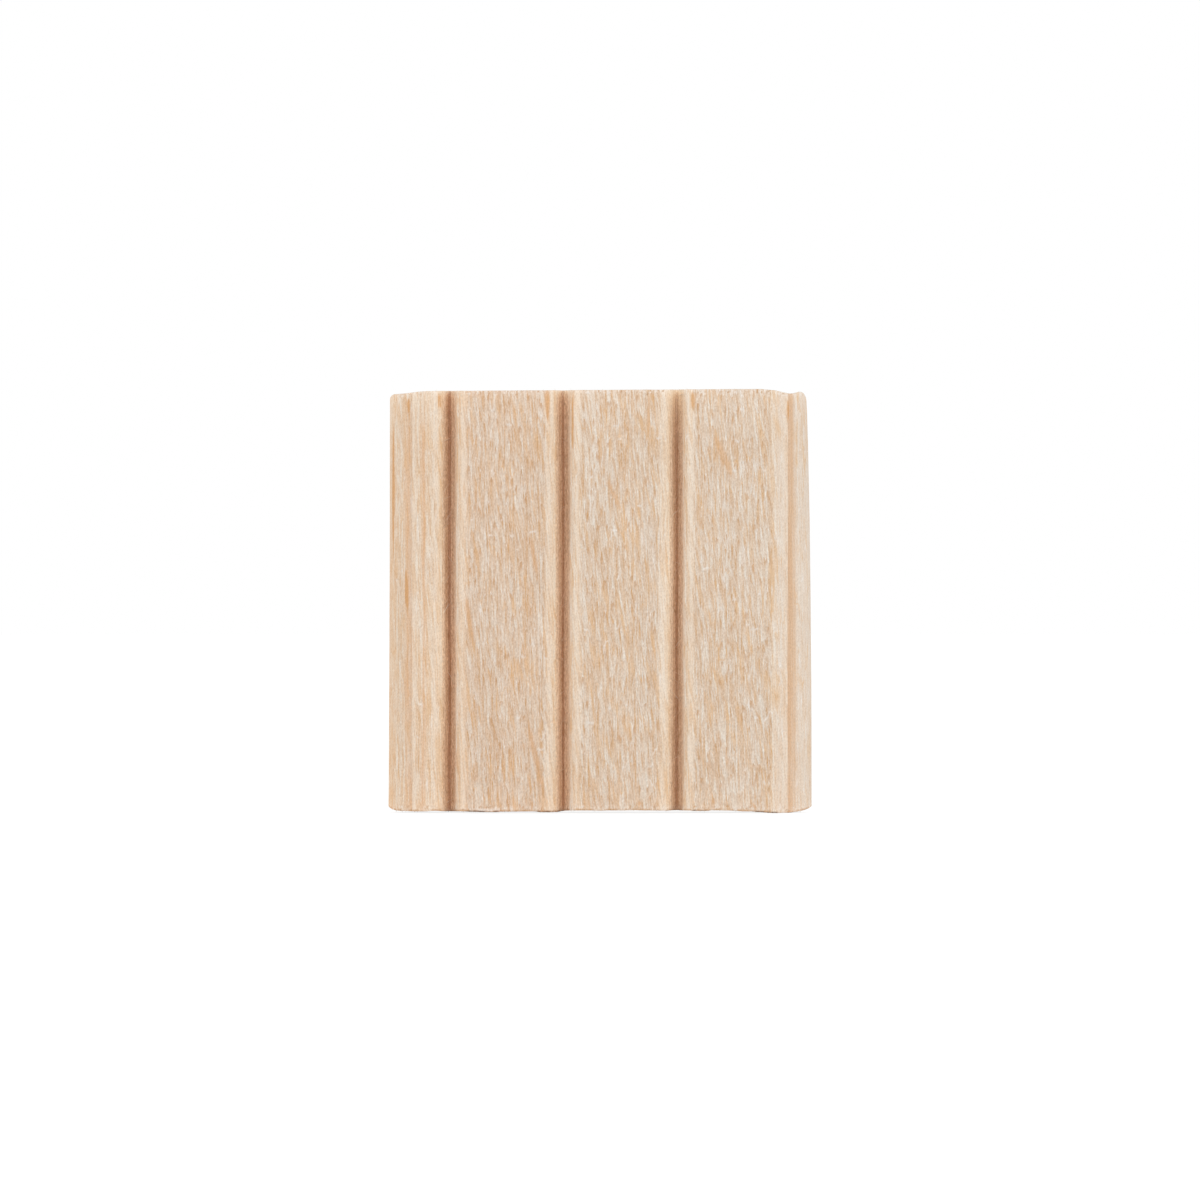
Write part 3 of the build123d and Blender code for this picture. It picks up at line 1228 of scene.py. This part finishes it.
def flutes(wood, of, zone):
    """The brown nap of the flutes, made darker with painted shade; painted light on their two
    flanks; painted shade in their roots; and painted light at their upper ends.
    """
    # The nap colour carries painted shade of the flutes as well as the nap's own brown
    nap = blend(mixed_level(of, NAP_MIX), FLUTE_DARK, FLUTE_LIGHT)
    wood = blend(ramp(zone.flute + swing(of.fuzz, 0.9), "nap"), wood, nap)
    # Painted light on the flanks: warmer on the left ones, paler and cooler on the right ones
    wood = tinted(wood, calc("MULTIPLY", zone.flank, -1.0, clamp=True), TINT_LEFT_FLANK_LIGHT)
    wood = tinted(wood, calc("ADD", zone.flank, 0.0, clamp=True), TINT_RIGHT_FLANK_LIGHT)
    # Painted shade in the flutes' roots
    wood = covered(wood, zone.crease, "crease", CREASE_SHADE_BROWN)
    # Painted light at the flutes' upper ends
    return blend(zone.raw * ramp(of.fuzz, "raw"), wood, FLUTE_END_LIGHT_COLOR)


def end_marks(wood, of, zone):
    """Torn fibre along the sawn edges: pale crumbs and brown chips, with painted contact shadow
    along the foot and along the lower front arris.
    """
    wood = blend(ramp(zone.hem, "hem") * ramp(of.fuzz, "bleached"), wood, STRAND_PALE)
    shades = {"torn": STRAND_PALE, "chip": CHIP_AND_FOOT_SHADOW, "singe": CHIP_AND_FOOT_SHADOW, "stain": SHADOW_LINE_DARK}
    for name, shade in shades.items():
        wood = covered(wood, getattr(zone, name), name, shade)
    return wood


def slow_changes(wood, of, zone):
    """The right side is paler and greyer, the left edge lighter and warmer with painted light, the
    first panel darker with painted shade as the light falls off to the left, and the whole is
    mottled.
    """
    left, right = -HALF_WIDTH * MM, HALF_WIDTH * MM
    side = blend(carried(of.x, left, right), TINT_LEFT_SIDE, TINT_RIGHT_SIDE)
    wood = tinted(wood, 1.0, side)
    # Painted light on the left edge
    wood = tinted(wood, carried(of.x, left, left + TIP_WIDTH, 1.0, 0.0), TINT_LEFT_TIP_LIGHT)
    # Painted shade over the first panel
    first_panel_shade = carried(of.x, *FIRST_PANEL_START) * carried(of.x, *FIRST_PANEL_FADE, 1.0, 0.0)
    wood = tinted(wood, first_panel_shade, TINT_FIRST_PANEL_SHADE)
    tone = ramp(of.broad, "slow_tone") * ramp(of.fuzz, "fine_tone") * ramp(zone.hem, "hem_tone")
    return tinted(wood, 1.0, add("CombineColor", {0: tone, 1: tone, 2: tone}))


def end_grain(where):
    """Colour and relief of a sawn end: growth rings, rays across them, pores and scratches."""
    flat = vector("MULTIPLY", where, (1, 1, 0))
    spoke = vector("SUBTRACT", flat, HEART)
    radius = add("VectorMath", {0: spoke}, "Value", operation="LENGTH")
    aside = add("SeparateXYZ", {0: spoke})
    turn = calc("ARCTAN2", aside.other("Y"), aside)
    rings = calc("FRACT", radius * RINGS + noise(where, "ring_drift") * 1.6)
    late = ramp(rings, "late_wood") * ramp(rings, "ring_edge")
    polar = add("CombineXYZ", {0: turn, 2: radius})
    pores = add("TexVoronoi", {"Vector": where, "Scale": PORES}, "Distance")
    chosen = add("SeparateColor", {0: pores.other("Color")})
    pore = ramp(pores, "pore") * ramp(chosen, "pore_chosen")
    pivot = (SAW_PIVOT[0] * MM, SAW_PIVOT[1] * MM, 0)
    arc = add("CombineXYZ", {0: vector("DISTANCE", flat, pivot, "Value")})
    of = SimpleNamespace(mottle=noise(where, "mottle"), scratches=noise(arc, "scratches"))

    shade = blend(mixed_level(of, END_MIX), END_DARK, END_LIGHT)
    shade = tinted(shade, late * COVER["late_wood"], TINT_LATE_WOOD)
    shade = covered(shade, ramp(noise(polar, "rays"), "rays"), "rays", FIBRE_PALE)
    shade = covered(shade, pore, "pores", PORE_BROWN)
    return shade, of.scratches * 1.6 + of.mottle * 0.8 - pore * 0.5


def wood_relief(of, zone, end_relief):
    """Height for the bump: fibre on the cheeks, fainter where milled, and the sawn ends' own."""
    tuft = (of.flecks + of.tufts * 0.4 + of.rooted * 0.3) * (1.2 - zone.milled)
    return (tuft + of.streaks * 0.4) * (1.0 - zone.sawn) + end_relief * zone.sawn


def wood_material():
    """The milled hardwood, built up in layers, with its end grain."""
    material = start_nodes(bpy.data.materials.new("milled_hardwood"))
    of = wood_patterns()
    names = MASKS.split()
    masks = {name: add("Attribute", output="Fac", attribute_name=name) for name in names}
    zone = SimpleNamespace(**masks)
    wood = bare_wood(of, zone)
    for layer in (threads, bands, flutes, end_marks, slow_changes):
        wood = layer(wood, of, zone)
    end_color, end_relief = end_grain(of.where)
    wood = blend(zone.sawn, wood, end_color)
    rough = ramp(of.flecks, "rough") - zone.ridge * 0.12
    height = wood_relief(of, zone, end_relief)
    inputs = {"Height": height, "Distance": BUMP_HEIGHT, "Strength": BUMP_STRENGTH}
    show_gloss(wood, rough, 0.2, {"Normal": add("Bump", inputs)})
    return material


def fibre_material():
    material = start_nodes(bpy.data.materials.new("loose_fibre"))
    along = noise(add("TexCoord", output="Object"), "loose_fibre")
    shade = blend(ramp(along, "loose_fibre"), FIBRE_TAN, FIBRE_PALE)
    show_gloss(shade, 0.7, 0.3, {})
    return material


# --- the stage ---

# In metres, with the camera far off
FLOOR_HALF = 6.0
FLOOR_SHADE = color(0.9, 0.9, 0.9)
FLOOR_GLOW, FLOOR_GLOW_SHARE = 1.12, 0.75
LAMP_PLACE = (0.34, -1.03, 0.25)
LAMP_SIZE = 0.6
LAMP_POWER = 1.6
CAMERA_DISTANCE = 1.2
CAMERA_RISE = 0.05 * MM
VIEW_WIDTH = 107.95 * MM


def floor_material():
    """White to the camera, with a trace of its shaded self so that the shadow stays."""
    material = start_nodes(bpy.data.materials.new("white_floor"))
    camera = add("LightPath", output="Is Camera Ray")
    paper = add("BsdfDiffuse", {"Color": FLOOR_SHADE})
    glow = add("Emission", {"Color": WHITE, "Strength": FLOOR_GLOW})
    seen = add("MixShader", {0: FLOOR_GLOW_SHARE, 1: paper, 2: glow})
    show(add("MixShader", {0: camera, 1: paper, 2: seen}))
    return material


def make_floor():
    half = FLOOR_HALF
    mesh = bpy.data.meshes.new("floor")
    corners = [(-half, -half, 0), (half, -half, 0), (half, half, 0), (-half, half, 0)]
    mesh.from_pydata(corners, [], [(0, 1, 2, 3)])
    mesh.materials.append(floor_material())
    floor = add_object("floor", mesh)


def make_room():
    """A white room, which lights the tenon from all round."""
    bpy.context.scene.world = start_nodes(bpy.data.worlds.new("white_room"))
    camera = add("LightPath", output="Is Camera Ray")
    seen = calc("MAXIMUM", camera, camera.other("Is Glossy Ray"))
    sky = add("Background", {"Color": WHITE, "Strength": ramp(seen, "room")})
    show(sky, "OutputWorld")


def make_lamp():
    """One broad soft lamp, a little to the right of the camera."""
    data = bpy.data.lights.new("soft_window", "AREA")
    data.shape = "RECTANGLE"
    data.size = data.size_y = LAMP_SIZE
    data.energy = LAMP_POWER
    lamp = add_object("soft_window", data)
    lamp.location = LAMP_PLACE
    aim = Vector((0, 0, LENGTH * MM / 2)) - lamp.location
    lamp.rotation_euler = aim.to_track_quat("-Z", "Y").to_euler()


def make_camera():
    """Level with the middle of the tenon and square to its front cheek."""
    data = bpy.data.cameras.new("camera")
    data.sensor_width = 36.0
    data.lens = data.sensor_width * CAMERA_DISTANCE / VIEW_WIDTH
    data.clip_start, data.clip_end = 0.01, 50.0
    camera = add_object("camera", data)
    camera.location = (0.0, -CAMERA_DISTANCE, (high.z + low.z) / 2 + CAMERA_RISE)
    camera.rotation_euler = (math.radians(90), 0, 0)
    bpy.context.scene.camera = camera


# --- the scene ---

for leftover in list(bpy.data.objects):
    if leftover.name in ("Cube", "Light", "Camera"):
        bpy.data.objects.remove(leftover)

tenon = make_tenon()
tenon.data.materials.append(wood_material())
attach(tenon, "root")
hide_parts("tenon")

fibres = make_fibres(tenon)
fibres.data.materials.append(fibre_material())
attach(fibres, "root")

make_floor()
make_room()
make_lamp()
make_camera()
bpy.context.scene.view_settings.view_transform = "Standard"
